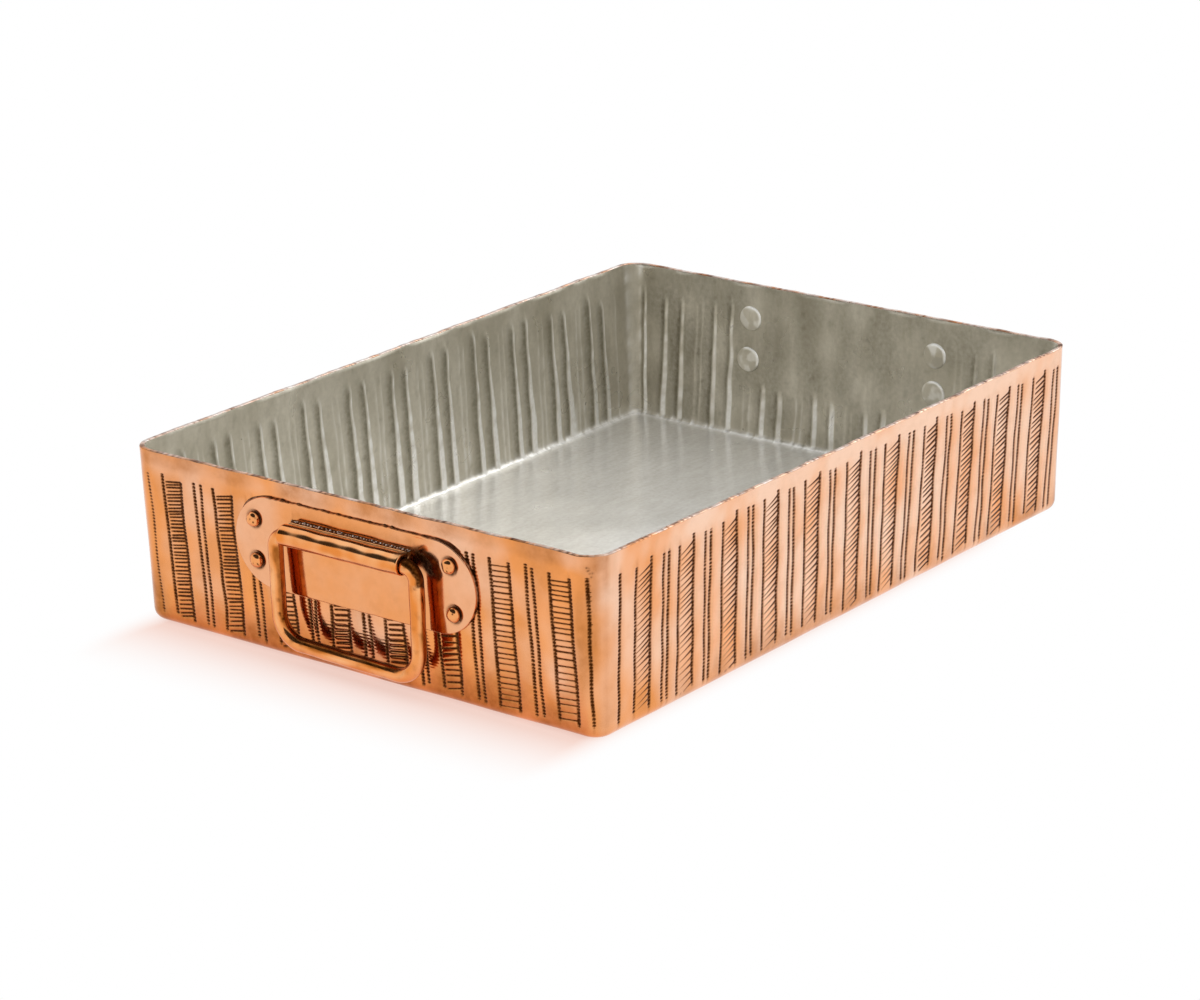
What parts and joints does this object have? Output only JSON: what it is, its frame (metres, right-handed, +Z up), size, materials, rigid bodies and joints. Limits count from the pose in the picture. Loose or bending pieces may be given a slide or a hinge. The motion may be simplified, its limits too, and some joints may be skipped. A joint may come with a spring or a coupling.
{
  "type": "roasting pan",
  "caption": "Rectangular copper roasting pan with leaning walls and rounded corners, tinned inside, with a hinged drop handle of round rod on each short end.",
  "frame": {"origin": "middle of the pan's underside, on the surface it stands on", "axes": "+Z up, X along the pan's length with the near handle on the -X end, Y across its width"},
  "size_m": [0.3732, 0.25, 0.078],
  "materials": {
    "copper_sheet": "polished copper sheet with chased stripes",
    "copper_plate": "polished copper plate",
    "copper_rod": "polished copper rod, warm brown in the hollows",
    "rivet": "copper, wiped with tin on the inside heads",
    "tin": "wiped tin, satin"
  },
  "bodies": {
    "pan": {"pan_body": "copper_sheet", "tin_lining": "tin", "backplate_near": "copper_plate", "backplate_far": "copper_plate", "knuckle_near": "copper_rod", "knuckle_far": "copper_rod", "rivet_near_1": "rivet", "rivet_near_2": "rivet", "rivet_near_3": "rivet", "rivet_near_4": "rivet", "rivet_far_1": "rivet", "rivet_far_2": "rivet", "rivet_far_3": "rivet", "rivet_far_4": "rivet"},
    "near_handle": {"handle_near": "copper_rod"},
    "far_handle": {"handle_far": "copper_rod"}
  },
  "joints": [
    {"name": "near_handle_swing", "type": "hinge", "parent": "pan", "child": "near_handle", "pos_m": [-0.18152, 0, 0.05828], "axis": [0, 1, 0], "range_deg": [-5, 185]},
    {"name": "far_handle_swing", "type": "hinge", "parent": "pan", "child": "far_handle", "pos_m": [0.18152, 0, 0.05828], "axis": [0, -1, 0], "range_deg": [-5, 185]}
  ]
}
